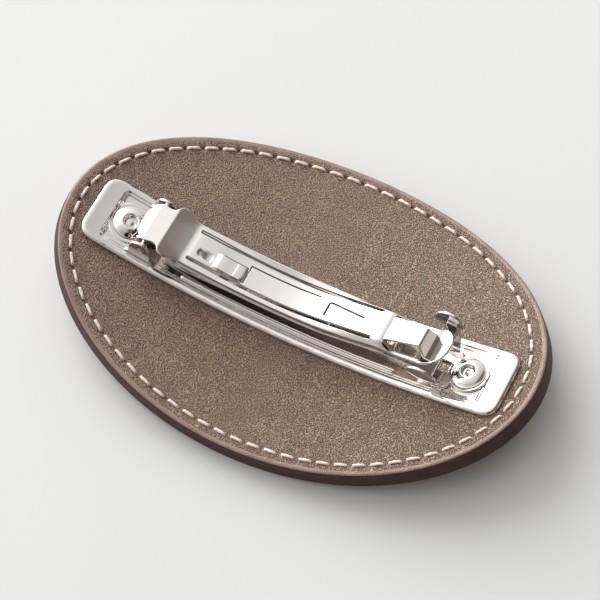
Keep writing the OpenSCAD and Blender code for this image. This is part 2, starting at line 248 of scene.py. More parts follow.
# %% Edge paint, thread and nickel
PAINT = (0.045, 0.018, 0.015)
PAINT_TONES = [(0.3, (0.045, 0.016, 0.015)), (0.75, (0.072, 0.031, 0.024))]
THREAD = (0.77, 0.66, 0.59)
THREAD_TONES = [(0.25, (0.60, 0.49, 0.43)), (0.7, (0.82, 0.71, 0.65))]
NICKEL = (0.70, 0.655, 0.625)
DULL_NICKEL = (0.50, 0.46, 0.43)
HAIR_STRETCH = (160, 2600, 900)
HAIR_TURN = (0, 0, 0.12)


def two_tone_finish(name, colour, roughness, shine, scale, detail, tones, strength, metres):
    """A finish whose tone and relief follow one noise."""
    finish, shader = new_finish(name, colour, roughness, shine=shine)
    streaks = noise_value(finish, scale, detail)
    join(finish, colour_ramp(finish, streaks, tones), shader.inputs["Base Color"])
    add_bump(finish, shader, streaks, strength, metres)
    return finish


def nickel_finish(name, colour, metallic):
    finish, shader = new_finish(name, colour, 0.1, metallic)
    hairs = noise_value(finish, 1.0, 4.0, HAIR_STRETCH, HAIR_TURN)
    add_roughness(finish, shader, hairs, From_Min=0.3, From_Max=0.75, To_Min=0.05, To_Max=0.16)
    add_bump(finish, shader, noise_value(finish, 420, 1.0), 0.25, 0.00002)
    return finish


edge_paint = two_tone_finish("edge_paint", PAINT, 0.55, 0.2, 420, 5.0, PAINT_TONES, 0.35, 0.00006)
cream_thread = two_tone_finish("cream_thread", THREAD, 0.65, 0.5, 5200, 3.0, THREAD_TONES, 0.4, 0.00003)
nickel = nickel_finish("polished_nickel", NICKEL, 1.0)
spring_nickel = nickel_finish("spring_nickel", DULL_NICKEL, 0.75)
print("finishes:", [finish.name for finish in bpy.data.materials])

# %% [markdown]
# ## From mesh to piece
# A finished mesh becomes a piece: it gets its materials and smooth shading, rides on the body
# that carries it, and stands for the plain solids of the model.

# %% Turn a mesh into a piece
def make_piece(name, mesh, finishes, body, nodes=(), crisp=42):
    """An object from a bmesh. Edges that bend more than crisp degrees stay sharp."""
    bmesh.ops.recalc_face_normals(mesh, faces=mesh.faces)
    data = bpy.data.meshes.new(name)
    mesh.to_mesh(data)
    mesh.free()
    for finish in finishes:
        data.materials.append(finish)
    data.shade_smooth()
    data.set_sharp_from_angle(angle=radians(crisp))
    piece = bpy.data.objects.new(name, data)
    bpy.context.scene.collection.objects.link(piece)
    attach(piece, body)
    if nodes:
        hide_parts(*nodes)
    print(name, "has", len(data.polygons), "faces")


def metal_piece(name, mesh, cad_node, body="leather_and_base", finish=nickel):
    make_piece(name, mesh, [finish], body, [cad_node])


def add_rings(mesh, rings, finish_of=lambda band: 0, capped=False):
    """Skin between closed rings of equally many points. finish_of gives each band's finish,
    and capped closes the first and the last ring."""
    rows = [[mesh.verts.new(point) for point in ring] for ring in rings]
    count = len(rings[0])
    for band in range(len(rows) - 1):
        low, high = rows[band], rows[band + 1]
        for i in range(count):
            face = mesh.faces.new((low[i], low[(i + 1) % count], high[(i + 1) % count], high[i]))
            face.material_index = finish_of(band)
    if capped:
        mesh.faces.new(rows[0])
        mesh.faces.new(rows[-1])
    return rows


# %% [markdown]
# ## The seam
# Equal steps of an ellipse's angle aren't equal lengths. So the length of the seam is added up
# in small steps, and the stitches are set along it. The leather was guided by hand: on the
# photograph there are 69 stitches, a little longer on the far side, and the seam comes nearer to
# the edge in some places. Small waves give the first, and a short table the second.

# %% Where the stitches are
OVAL_L = 88.8
OVAL_W = 57.6
OVAL_TURN = radians(0.8)
SEAM_IN = 2.3
STITCHES = 69
SIDES = 16
FINE_STEPS = 24000
# How far the stitches run late on their way round, in waves that turn once, twice and once
LATE = (1.3, 0.4, 0.3)
# Share of the way round from the right-hand tip over the far side, and the seam's distance in
SEAM_WANDER = [
    (0.0, 2.68), (0.06, 2.66), (0.12, 2.42), (0.18, 2.16), (0.25, 1.98), (0.31, 2.14), (0.38, 2.38),
    (0.44, 2.30), (0.5, 2.12), (0.56, 2.28), (0.64, 2.40), (0.70, 2.28), (0.76, 2.10), (0.83, 1.88),
    (0.88, 2.12), (0.94, 2.38), (1.0, 2.68)]


def ease(value, start, stop):
    """0 before start, 1 after stop, and a soft S between."""
    part = max(0.0, min(1.0, (value - start) / (stop - start)))
    return part * part * (3 - 2 * part)


def between(rows, value):
    """Height of a short table at a value, with soft turns at its rows."""
    i = max(k for k, row in enumerate(rows[:-1]) if row[0] <= value)
    (start, low), (stop, high) = rows[i], rows[i + 1]
    return low + (high - low) * ease(value, start, stop)


def seam_angles():
    """The ellipse's angle at equal parts of a stitch, SIDES of them for each stitch."""
    long, short = OVAL_L / 2 - SEAM_IN, OVAL_W / 2 - SEAM_IN
    small = tau / FINE_STEPS
    run = [0.0]
    for i in range(FINE_STEPS):
        angle = (i + 0.5) * small
        run.append(run[-1] + small * hypot(long * sin(angle), short * cos(angle)))
    angles = []
    j = 0
    for k in range(STITCHES * SIDES):
        turn = tau * k / (STITCHES * SIDES)
        late = LATE[0] * (1 - cos(turn)) + LATE[1] * (1 - cos(2 * turn))
        late -= LATE[2] * sin(turn)
        goal = run[-1] * turn / tau + late
        while run[j + 1] < goal:
            j += 1
        angles.append((j + (goal - run[j]) / (run[j + 1] - run[j])) * small)
    return run[-1] / STITCHES, angles


def oval_spot(angle, inset):
    """Place (s, y) on the oval's outline, drawn in by inset."""
    long = (OVAL_L / 2 - inset) * cos(angle)
    short = (OVAL_W / 2 - inset) * sin(angle)
    return (long * cos(OVAL_TURN) - short * sin(OVAL_TURN),
            long * sin(OVAL_TURN) + short * cos(OVAL_TURN))


stitch_l, rim_angles = seam_angles()
seam_insets = [between(SEAM_WANDER, angle / tau) for angle in rim_angles]
print(STITCHES, "stitches of about", round(stitch_l, 3), "mm")

# %% [markdown]
# ## Leather
# Each layer is one closed skin: rings run from its glued face round the edge to the face that
# shows, and strips fill the middle. The rings lie close together along the seam, where the
# thread pulls the leather into a shallow groove with a small pit at each hole. The leather
# between seam and edge swells a little.

# %% How the leather gives way along the seam
GROOVE, GROOVE_W = 0.10, 0.42
PIT, PIT_R, PIT_OUT = 0.55, 0.27, 0.06
PULL, PULL_W, PULL_L = 0.06, 0.9, 0.7
SWELL, SWELL_W, SWELL_OUT = 0.06, 0.5, 1.1
FAR_SIDE = 2.1
EDGE_R = 0.45
FACE_RINGS = 22
FACE_INNER = 5.2


def ring_inset(ring, index):
    """Distance in from the edge of a ring of the face. Most rings crowd round the seam."""
    t = 2 * ring / (FACE_RINGS - 1) - 1
    seam = seam_insets[index]
    if t < 0:
        return seam - (seam - EDGE_R) * (0.35 * -t + 0.65 * (-t) ** 3)
    return seam + (FACE_INNER - seam) * (0.22 * t + 0.78 * t ** 3)


def seam_depth(inset, index):
    """How far the face lies below its plain height at a place along the seam."""
    off = inset - seam_insets[index]
    turn = (index % SIDES) / SIDES
    along = min(turn, 1 - turn) * stitch_l
    wave = cos(tau * turn)
    groove = GROOVE * exp(-(off / GROOVE_W) ** 2) * (0.6 + 0.4 * wave)
    far = 0.55 + 0.45 * cos(rim_angles[index] - FAR_SIDE)
    pit = PIT * far * exp(-((off + PIT_OUT) ** 2 + along ** 2) / PIT_R ** 2)
    pull = PULL * exp(-(off / PULL_W) ** 2 - (along / PULL_L) ** 2)
    swell = SWELL * exp(-((off + SWELL_OUT) / SWELL_W) ** 2) * (0.75 - 0.25 * wave)
    return groove + pit + pull - swell * ease(inset, EDGE_R, EDGE_R + 0.3)


deepest = max(seam_depth(seam_insets[i], i) for i in range(len(rim_angles)))
print("the deepest hole of the seam is", round(deepest, 2), "mm deep")

# %% One layer of leather
GLUED_IN = 0.2
EDGE_BULGE = 0.04
FACE_STRIPS = 26


def leather_layer(name, glued, face, nodes, finish):
    """A layer between its glued face and the face that shows, both as heights."""
    out = 1 if face > glued else -1
    levels = [(GLUED_IN, glued), (0.0, glued), (-EDGE_BULGE, (glued + face - out * EDGE_R) / 2),
              (0.0, face - out * EDGE_R)]
    painted = len(levels) + 1
    for step in (15, 30, 45, 60, 75):
        tilt = radians(step)
        levels.append((EDGE_R * (1 - cos(tilt)), face - out * EDGE_R * (1 - sin(tilt))))
    rings = [[place(*oval_spot(angle, inset), height) for angle in rim_angles]
             for inset, height in levels]
    for ring in range(FACE_RINGS):
        insets = [ring_inset(ring, i) for i in range(len(rim_angles))]
        rings.append([place(*oval_spot(angle, insets[i]), face - out * seam_depth(insets[i], i))
                      for i, angle in enumerate(rim_angles)])

    def finish_of(band):
        if band < painted:
            return 1
        return 2 if band < len(levels) + 1 else 0

    mesh = bmesh.new()
    rows = add_rings(mesh, rings, finish_of)
    fill_across(mesh, rows[0], GLUED_IN, glued, 1)
    fill_across(mesh, rows[-1], FACE_INNER, face, FACE_STRIPS)
    make_piece(name, mesh, [finish, edge_paint, hide_lip], "leather_and_base", nodes)


def fill_across(mesh, ring, inset, height, parts):
    """Fills a closed ring with strips that run across the barrette."""
    spots = [oval_spot(angle, inset) for angle in rim_angles]
    count = len(ring)
    half = count // 2
    columns = []
    for i in range(1, half):
        start, stop = spots[i], spots[count - i]
        column = [ring[i]]
        for k in range(1, parts):
            part = k / parts
            spot = [start[j] + (stop[j] - start[j]) * part for j in (0, 1)]
            column.append(mesh.verts.new(place(spot[0], spot[1], height)))
        columns.append(column + [ring[count - i]])
    for one, two in zip(columns, columns[1:]):
        for k in range(parts):
            mesh.faces.new((one[k], two[k], two[k + 1], one[k + 1]))
    for tip, column in ((ring[0], columns[0]), (ring[half], columns[-1])):
        for k in range(parts):
            mesh.faces.new((tip, column[k], column[k + 1]))


glue_line = -BACK_T - GLUE_GAP / 2
leather_layer("leather_back_hide", glue_line, 0.0, ["leather_back"], hide_back)
leather_layer("leather_front_hide", glue_line, -LEATHER_T, ["leather_front"],
              hide_front)

# %% [markdown]
# ### Stitches
# Each stitch comes up out of one hole, lies in the groove and goes down into the next. The
# thread is two yarns twisted together, so its section is a figure with two lobes that turns on
# along the stitch. All the stitches of a face are one mesh.

# %% Stitches
THREAD_R = 0.275
THREAD_SIDES = 12
STITCH_STEPS = 20
# Share of a stitch between the middle of a hole and the thread's end in it
HOLE_GAP = 0.07
DIVE = 0.7
TWIST = 7.5
LOBES = 0.10
FLATNESS = 0.8
LIFT = 0.10
SLANT, SLANT_SPREAD = 0.08, 0.12
SEED = 7


def stitch_rings(number, face, out, slant, lift):
    """Rings of one stitch, from the hole where it comes up to the next."""
    rings = []
    for k in range(STITCH_STEPS + 1):
        part = k / STITCH_STEPS
        middle = 1 - abs(2 * part - 1) ** 5
        position = (number + HOLE_GAP + (1 - 2 * HOLE_GAP) * part) * SIDES
        index = int(position)
        blend = position - index
        here = rim_angles[index % len(rim_angles)]
        after = rim_angles[(index + 1) % len(rim_angles)]
        if after < here:
            after += tau
        angle = here + (after - here) * blend
        radius = THREAD_R * (0.72 + 0.28 * middle)
        centre = face + out * (lift * middle - DIVE * (1 - middle))
        ring = []
        for side in range(THREAD_SIDES):
            round_about = tau * side / THREAD_SIDES
            lobe = radius * (1 + LOBES * cos(2 * (round_about - part * TWIST)))
            inset = seam_insets[index] + slant * (part - 0.5) + lobe * cos(round_about)
            height = centre + out * FLATNESS * lobe * sin(round_about)
            ring.append(place(*oval_spot(angle, inset), height))
        rings.append(ring)
    return rings


def sew(name, face, out):
    chance = random.Random(SEED)
    mesh = bmesh.new()
    for number in range(STITCHES):
        slant = chance.uniform(-SLANT_SPREAD, SLANT_SPREAD) - SLANT
        lift = LIFT + chance.uniform(-0.02, 0.03)
        add_rings(mesh, stitch_rings(number, face, out, slant, lift), capped=True)
    make_piece(name, mesh, [cream_thread], "leather_and_base", crisp=80)


sew("seam_back", 0.0, 1)
sew("seam_front", -LEATHER_T, -1)

# %% [markdown]
# ## Sheet metal
# The clip is stamped from sheet: blanked to an outline, pierced, pressed and bent. Its meshes
# are made the same way. The outline, the holes and the lines of each pressed form are drawn
# flat, Delaunay triangles fill the drawing, and every point is lifted to its height and laid on
# the bent surface, once for the top of the sheet and once for its underside. Along each edge,
# rings drop away in a quarter circle, because polished edges are round and catch the light.

# %% Lines with round corners
def rounded(corners, closed=True, steps=5):
    """Corners [x, y, radius] joined by straight lines, each rounded with an arc."""
    points = []
    count = len(corners)
    for i, corner in enumerate(corners):
        here = Vector(corner[:2])
        radius = corner[2] if len(corner) > 2 else 0
        if radius == 0 or (not closed and i in (0, count - 1)):
            points.append(here)
            continue
        to_last = Vector(corners[i - 1][:2]) - here
        to_next = Vector(corners[(i + 1) % count][:2]) - here
        half = to_last.angle(to_next) / 2
        cut = min(radius / tan(half), 0.49 * to_last.length, 0.49 * to_next.length)
        start = here + to_last.normalized() * cut
        stop = here + to_next.normalized() * cut
        for k in range(steps + 1):
            t = k / steps
            points.append(start.lerp(here, t).lerp(here.lerp(stop, t), t))
    return points


def finely(points, step, closed=True):
    """The same line with no piece longer than step."""
    fine = []
    last = len(points) if closed else len(points) - 1
    for i in range(last):
        here, after = points[i], points[(i + 1) % len(points)]
        parts = max(1, ceil((after - here).length / step))
        fine += [here.lerp(after, k / parts) for k in range(parts)]
    if not closed:
        fine.append(points[-1])
    return fine


def even(low, high, step):
    """Even places from low to high, no more than step apart."""
    parts = max(1, ceil((high - low) / step))
    return [low + (high - low) * k / parts for k in range(parts + 1)]


# %% Closed outlines
def twice_area(loop):
    """Twice the area inside a loop, negative for one that runs clockwise."""
    return sum(loop[i - 1].x * loop[i].y - loop[i].x * loop[i - 1].y for i in range(len(loop)))


def sideways(before, after):
    """Way to the left at a corner between two unit steps, and how much it narrows there."""
    along = (before + after).normalized()
    across = Vector((-along.y, along.x))
    return across, max(0.5, across.dot(Vector((-before.y, before.x))))


def moved_in(loop, distance):
    """A counter-clockwise loop, drawn in by a distance."""
    count = len(loop)
    moved = []
    for i in range(count):
        before = (loop[i] - loop[i - 1]).normalized()
        after = (loop[(i + 1) % count] - loop[i]).normalized()
        inward, spread = sideways(before, after)
        moved.append(loop[i] + inward * distance / spread)
    return moved


def circle_line(x, y, radius, step=0.3):
    count = max(16, round(tau * radius / step))
    return [Vector((x + radius * cos(tau * k / count), y + radius * sin(tau * k / count)))
            for k in range(count)]


def box_line(x0, x1, y0, y1, radius, step=0.4):
    corners = [(x0, y0, radius), (x1, y0, radius), (x1, y1, radius), (x0, y1, radius)]
    return finely(rounded(corners), step)


def slot_line(points, width, step=0.3):
    """A narrow slot along a line of points, with round ends."""
    line = [Vector(point) for point in points]
    left, right_side = [], []
    for i, here in enumerate(line):
        before = (here - line[i - 1]).normalized() if i else (line[1] - here).normalized()
        after = (line[i + 1] - here).normalized() if i < len(line) - 1 else before
        across, spread = sideways(before, after)
        reach = width / 2 / spread
        left.append(here + across * reach)
        right_side.append(here - across * reach)
    cap = []
    for end, along in ((line[-1], line[-1] - line[-2]), (line[0], line[0] - line[1])):
        along = along.normalized() * width / 2
        across = Vector((-along.y, along.x))
        cap.append([end + along * sin(t) - across * cos(t) for t in (pi / 4, pi / 2, 3 * pi / 4)])
    return finely(right_side + cap[0] + left[::-1] + cap[1], step)


print("a rivet hole is drawn with", len(circle_line(0, 0, 1.5)), "points")

# %% From a drawing to bent sheet
ROUNDING_RINGS = (0.0, 0.08, 0.3, 0.6, 1.0, 1.6)
GRID_CLEAR = 0.16
WELD = 1e-5


def sheet_metal(mesh, outline, surface, thickness, holes=(), lines=(), columns=(), rows=(),
                edge=0.12, relief=None, underside=None, edge_below=1.0):
    """Adds a closed sheet to the mesh. holes holds [loop, edge rounding], lines holds
    [points, closed], columns and rows are the places of the supporting grid, relief gives
    the height of a pressed form and underside, if given, the height of the lower face. The
    rounding of the lower edge is edge_below times that of the upper one."""
    points, drops, joins, regions = [], [], [], []

    def draw(line, drop, closed=True):
        first = len(points)
        points.extend(line)
        drops.extend([drop] * len(line))
        last = len(line) if closed else len(line) - 1
        joins.extend((first + i, first + (i + 1) % len(line)) for i in range(last))
        return list(range(first, first + len(line)))

    for number, (loop, rounding) in enumerate([(outline, edge), *holes]):
        inward = 1 if number == 0 else -1
        if twice_area(loop) < 0:
            loop = loop[::-1]
        for part in ROUNDING_RINGS:
            drop = rounding * (1 - sqrt(1 - max(0.0, 1 - part) ** 2))
            ring = draw(moved_in(loop, inward * part * rounding), drop)
            if part == 0:
                regions.append(ring)
    for line, closed in lines:
        draw(line, 0.0, closed)
    tree = kdtree.KDTree(len(points))
    for index, point in enumerate(points):
        tree.insert((point.x, point.y, 0), index)
    tree.balance()
    for x in columns:
        for y in rows:
            if tree.find((x, y, 0))[2] > GRID_CLEAR:
                points.append(Vector((x, y)))
                drops.append(0.0)
    net = geometry.delaunay_2d_cdt(points, joins, regions, 0, WELD, True)
    flat, _, faces, sources, _, owners = net
    drop_at = [max((drops[i] for i in source), default=0.0) for source in sources]
    kept = [face for face, owner in zip(faces, owners) if owner and min(owner) == max(owner) == 0]
    upper, lower, rim = {}, {}, {}
    for face in kept:
        for k, i in enumerate(face):
            if i not in upper:
                x, y = flat[i]
                lift = relief(x, y) if relief else 0.0
                under = underside(x, y) if underside else lift - thickness
                upper[i] = mesh.verts.new(surface(x, y, lift - drop_at[i]))
                lower[i] = mesh.verts.new(surface(x, y, under + edge_below * drop_at[i]))
            pair = (i, face[(k + 1) % len(face)])
            rim[frozenset(pair)] = None if frozenset(pair) in rim else pair
    for face in kept:
        mesh.faces.new([upper[i] for i in face])
        mesh.faces.new([lower[i] for i in reversed(face)])
    for pair in rim.values():
        if pair:
            a, b = pair
            mesh.faces.new((upper[b], upper[a], lower[a], lower[b]))


print("each edge is rounded by", len(ROUNDING_RINGS), "rings")

# %% [markdown]
# ### Side views
# Arm and leaf spring are strips that are bent after stamping, and a strip keeps its length in the
# bend. So the side view is drawn as corners with a radius, and every place on the strip is found
# by its length along that line. Heights that change slowly are read from short tables.

# %% Side views of bent strips
def soft_value(rows, x):
    """Value at x from rows [x, value], with soft turns between the rows."""
    if x <= rows[0][0]:
        return rows[0][1]
    if x >= rows[-1][0]:
        return rows[-1][1]
    i = max(k for k, row in enumerate(rows[:-1]) if row[0] <= x)
    before, here, after = rows[max(i - 1, 0)], rows[i], rows[i + 1]
    later = rows[min(i + 2, len(rows) - 1)]
    gap = after[0] - here[0]
    t = (x - here[0]) / gap
    start = (after[1] - before[1]) / (after[0] - before[0]) * gap
    stop = (later[1] - here[1]) / (later[0] - here[0]) * gap
    t2, t3 = t * t, t * t * t
    return ((2 * t3 - 3 * t2 + 1) * here[1] + (t3 - 2 * t2 + t) * start
            + (3 * t2 - 2 * t3) * after[1] + (t3 - t2) * stop)


def follow(corners, zero_at):
    """A bent side view [distance, height, radius] as a function of the length along it, which
    gives a place and the direction away from it, and the lengths at its bends."""
    path = rounded(corners, closed=False, steps=8)
    lengths = [0.0]
    for before, after in zip(path, path[1:]):
        lengths.append(lengths[-1] + (after - before).length)
    slopes = [(after - before).normalized() for before, after in zip(path, path[1:])]
    ways = [slopes[0]] + [(a + b).normalized() for a, b in zip(slopes, slopes[1:])] + [slopes[-1]]
    k = next(i for i, point in enumerate(path) if point.x >= zero_at)
    part = (zero_at - path[k - 1].x) / (path[k].x - path[k - 1].x)
    origin = lengths[k - 1] + part * (lengths[k] - lengths[k - 1]) - zero_at
    lengths = [length - origin for length in lengths]

    def at(u):
        i = 0
        while i < len(lengths) - 2 and lengths[i + 1] < u:
            i += 1
        t = (u - lengths[i]) / (lengths[i + 1] - lengths[i])
        point = path[i] + (path[i + 1] - path[i]) * t
        way = ways[i].lerp(ways[i + 1], max(0.0, min(1.0, t))).normalized()
        return point, Vector((-way.y, way.x))

    return at, lengths, path


def laid_on(at):
    """Surface for sheet_metal that follows such a side view on the clip."""
    def surface(u, v, lift):
        point, away = at(u)
        spot = point + away * lift
        return on_clip(spot.x, v, spot.y)
    return surface


# %% [markdown]
# ## Base plate
# The plate has a flat border and a sunk floor. The border goes down to the floor in two small
# steps, with a narrow ledge between them. Two long ribs stiffen the floor, and a low boss
# surrounds each rivet. Two ears stand up and carry the hinge pin. Signed distances to the
# rounded box, the ribs and the bosses give the pressed heights, and lines of points along
# each step keep the triangles true to it.

# %% Base plate
PLATE_L = 80.0
PLATE_W = 12.7
PLATE_H = 0.95
PLATE_CORNER = 2.9
FLOOR_H = 0.5
SUNK_L = 72.8
SUNK_W = 10.3
SUNK_CORNER = 1.0
LEDGE_DROP = 0.22
LEDGE_IN = 0.5
STEP_RUN = 0.34
RIVET_S = 32.7
RIVET_HOLE = 1.5
BOSS_R, BOSS_H, BOSS_RUN = 3.85, 0.12, 0.25
BOSS_LINES = (3.5, 3.6, 3.68, 3.77, 3.85, 3.95)
RIB_Y = 3.95
RIB_HALF = 20.0
RIB_R, RIB_H, RIB_RUN = 0.45, 0.3, 0.34
RIB_LINES = (0.11, 0.2, 0.28, 0.36, 0.45, 0.55)
EAR_Y = 4.5
EAR_T = 0.45
EAR_R = 2.1
HINGE_S = -28.5
HINGE_H = 3.7


def inside_box(x, y, length, width, radius):
    """Distance from the rim of a rounded box, positive inside it."""
    over_x = abs(x) - (length / 2 - radius)
    over_y = abs(y) - (width / 2 - radius)
    outside = hypot(max(over_x, 0), max(over_y, 0))
    return radius - outside - min(max(over_x, over_y), 0)


def plate_relief(x, y):
    """Height of the plate's upper face above the leather."""
    into = inside_box(x, y, SUNK_L, SUNK_W, SUNK_CORNER)
    height = PLATE_H - LEDGE_DROP * ease(into, 0.0, STEP_RUN)
    height -= (PLATE_H - LEDGE_DROP - FLOOR_H) * ease(into, LEDGE_IN, LEDGE_IN + STEP_RUN)
    for side in (-1, 1):
        off = hypot(x - side * RIVET_S, y)
        height = max(height, FLOOR_H + BOSS_H * ease(BOSS_R - off, 0.0, BOSS_RUN))
        rib = hypot(max(abs(x) - RIB_HALF, 0), y - side * RIB_Y)
        height = max(height, FLOOR_H + RIB_H * ease(RIB_R - rib, 0.0, RIB_RUN))
    return height


print("the sunk floor lies", round(PLATE_H - plate_relief(0, 0), 2), "mm below the border")


# %% The whole base plate
def capsule_line(half, y, radius):
    line = [Vector((half + radius * sin(t), y - radius * cos(t))) for t in even(0, pi, 0.5)]
    return finely(line + [Vector((-point.x, 2 * y - point.y)) for point in line], 0.9)


def build_base_plate():
    mesh = bmesh.new()
    outline = box_line(-PLATE_L / 2, PLATE_L / 2, -PLATE_W / 2, PLATE_W / 2, PLATE_CORNER, 0.8)
    upper_step = even(0.0, STEP_RUN, 0.055)
    lower_step = even(LEDGE_IN, LEDGE_IN + STEP_RUN, 0.055)
    lines = []
    for inset in (-0.12, *upper_step, 0.42, *lower_step, 0.95):
        half_l, half_w = SUNK_L / 2 - inset, SUNK_W / 2 - inset
        corner = max(0.1, SUNK_CORNER - inset)
        lines.append((box_line(-half_l, half_l, -half_w, half_w, corner, 0.4), True))
    holes = []
    for side in (-1, 1):
        lines += [(circle_line(side * RIVET_S, 0, radius, 0.4), True) for radius in BOSS_LINES]
        lines += [(capsule_line(RIB_HALF, side * RIB_Y, radius), True) for radius in RIB_LINES]
        holes.append((circle_line(side * RIVET_S, 0, RIVET_HOLE), 0.1))
    sheet_metal(mesh, outline, on_clip, 0, holes, lines, even(-39, 39, 1.0), even(-6, 6, 0.8),
                0.65, plate_relief, lambda x, y: GLUE_GAP, 0.15)
    for side in (-1, 1):
        hinge_ear(mesh, side)
    metal_piece("base_plate_pressed", mesh, "base_plate")


def pin_arc(radius, angles):
    """Rows [x, z, 0] of an arc round the pin."""
    return [(radius * cos(t), HINGE_H + radius * sin(t), 0) for t in angles]


def pin_plate(mesh, corners, y, thickness, side, hole_r, columns, rows, edge):
    """Upright plate beside the middle of the clip, pierced for the pin."""
    def surface(x, z, lift):
        return on_bend(HINGE_S, x, side * (y + thickness + lift), z)

    hole = circle_line(0, HINGE_H, hole_r, 0.25)
    sheet_metal(mesh, finely(rounded(corners), 0.35), surface, thickness, [(hole, 0.05)], (), columns,
                rows, edge)


def hinge_ear(mesh, side):
    """Upright ear with a round top and a wider foot, pierced for the pin."""
    foot = EAR_R + 0.6
    low = FLOOR_H - 0.2
    corners = [(-foot, low, 0), (foot, low, 0), (foot, 1.15, 0.3), (EAR_R, 1.5, 0.5)]
    corners += pin_arc(EAR_R, even(0, pi, 0.2)) + [(-EAR_R, 1.5, 0.5), (-foot, 1.15, 0.3)]
    pin_plate(mesh, corners, EAR_Y, EAR_T, side, 0.62, even(-2.4, 2.4, 0.6), even(0.4, 5.6, 0.6), 0.12)


build_base_plate()

# %% [markdown]
# ## Hinge pin and rivets
# These are turned pieces. A profile [radius, height] is swept round an axis. The rivets have a
# blind bore: the rim of the domed head rolls over into it, and its floor shines up.

# %% Turned pieces
PIN_R = 0.6
DOME_R = 4.0
DOME_T = 1.3
BORE_R = 1.05
LIP_R = 0.42
SHANK_R = 1.45
SHANK_LOW = -1.8
AXIS_R = 0.02
CATCH_H = 0.66
CATCH_T = 0.5


def turned(mesh, profile, spot, sides=64):
    """Closed skin of a profile round an axis. spot gives the point for across, across, height."""
    angles = [tau * k / sides for k in range(sides)]
    rings = [[spot(radius * cos(angle), radius * sin(angle), height) for angle in angles]
             for radius, height in profile]
    add_rings(mesh, rings, capped=True)


def build_pin():
    mesh = bmesh.new()
    half = EAR_Y + EAR_T
    end = [(PIN_R - 0.15, half + 0.02), (PIN_R - 0.05, half - 0.03), (PIN_R, half - 0.1)]
    profile = [(radius, -height) for radius, height in end] + end[::-1]
    turned(mesh, profile, lambda a, b, h: on_bend(HINGE_S, a, h, HINGE_H + b), 32)
    metal_piece("hinge_pin_turned", mesh, "hinge_pin")


def build_rivet(name, side, seat, cad_node):
    """Rivet whose head sits at the height seat."""
    def dome(radius):
        return seat + DOME_T - DOME_R + sqrt(DOME_R ** 2 - radius ** 2)

    profile = [(AXIS_R, SHANK_LOW), (SHANK_R, SHANK_LOW), (SHANK_R, seat)]
    profile += [(2.8, seat), (2.94, seat + 0.03), (3.0, seat + 0.12), (2.97, seat + 0.2)]
    profile.append((2.88, dome(2.88) + 0.14))
    profile += [(r, dome(r) + 0.14 * ease(r, 1.6, 2.9)) for r in (2.6, 2.3, 2.0, 1.75, 1.6)]
    for step in (15, 35, 55, 75, 90):
        tilt = radians(step)
        profile.append((BORE_R + LIP_R * (1 - sin(tilt)), dome(1.5) - LIP_R * (1 - cos(tilt))))
    profile += [(BORE_R, seat + 0.35), (0.98, seat + 0.16), (0.8, seat + 0.08)]
    profile += [(0.5, seat + 0.16), (AXIS_R, seat + 0.2)]
    mesh = bmesh.new()
    turned(mesh, profile, lambda a, b, h: on_bend(side * RIVET_S, a, b, h))
    metal_piece(name, mesh, cad_node)


build_pin()
build_rivet("rivet_hinge_end_turned", -1, 0.66, "rivet_hinge_end")
build_rivet("rivet_catch_end_turned", 1, CATCH_H + CATCH_T + 0.04, "rivet_catch_end")

# %% [markdown]
# ## Leaf spring
# A thin tempered strip starts at the hinge end, rises under the arm and presses the hair. Its
# side view is given by a few heights, and soft corners between them make one smooth curve.

# %% Leaf spring
LEAF_T = 0.35
LEAF_W = 6.2
LEAF_BEND = 6.0
LEAF_SIDE = [
    (-24.6, 0.58), (-22.4, 0.66), (-17, 1.2), (-12, 1.7), (-7, 2.2), (-2.5, 2.85), (3, 3.35), (8, 3.75),
    (12, 3.85), (17, 3.8), (21.5, 3.6), (24, 3.1), (25.6, 2.2), (27, 1.3)]
# Drawings stay a hair inside the ends of their side view
HAIR = 0.01


def build_leaf_spring():
    at, lengths, _ = follow([(s, h + LEAF_T, LEAF_BEND) for s, h in LEAF_SIDE], 0.0)
    mesh = bmesh.new()
    half = LEAF_W / 2
    outline = box_line(lengths[0] + HAIR, lengths[-1] - HAIR, -half, half, 0.8, 0.7)
    sheet_metal(mesh, outline, laid_on(at), LEAF_T, (), (), lengths[1:-1], even(-half, half, 0.7), 0.1)
    metal_piece("leaf_spring_strip", mesh, "leaf_spring", finish=spring_nickel)


build_leaf_spring()

# %% [markdown]
# ## Arm
# The arm is one blank: a knuckle that curls round the pin, a rise to a crease with two wings, a
# long channel with two slots, and a tip turned up for the finger. The channel's middle sags near
# the hinge and rises to the bridge, and flanges turned down along its rails make the arm stiff.
# The outline is drawn along the side view, and a relief gives the pressed forms.

# %% The arm's side view and outline
ARM_H = 6.1
ARM_T = 0.6
KNUCKLE_R = 2.5
LIP_ANGLE = 197.7
TIP_BEND = 26.4
TIP_L = 4.75
TIP_R = 3.5
FLARE = radians(28)
HOOD_END = -21.3
HOOD_EDGE = [
    (-2.6, 1.2), (-2.42, 1.7), (-2.2, 2.25), (-1.9, 2.8), (-1.5, 3.25), (-1.0, 3.6), (-0.4, 3.8),
    (0.2, 3.75), (1.0, 3.6), (1.7, 3.62), (2.25, 3.85), (2.7, 4.45), (3.2, 4.8), (3.9, 4.95),
    (4.6, 4.85), (5.3, 4.55), (5.9, 4.2), (6.5, 4.05), (7.6, 4.05)]
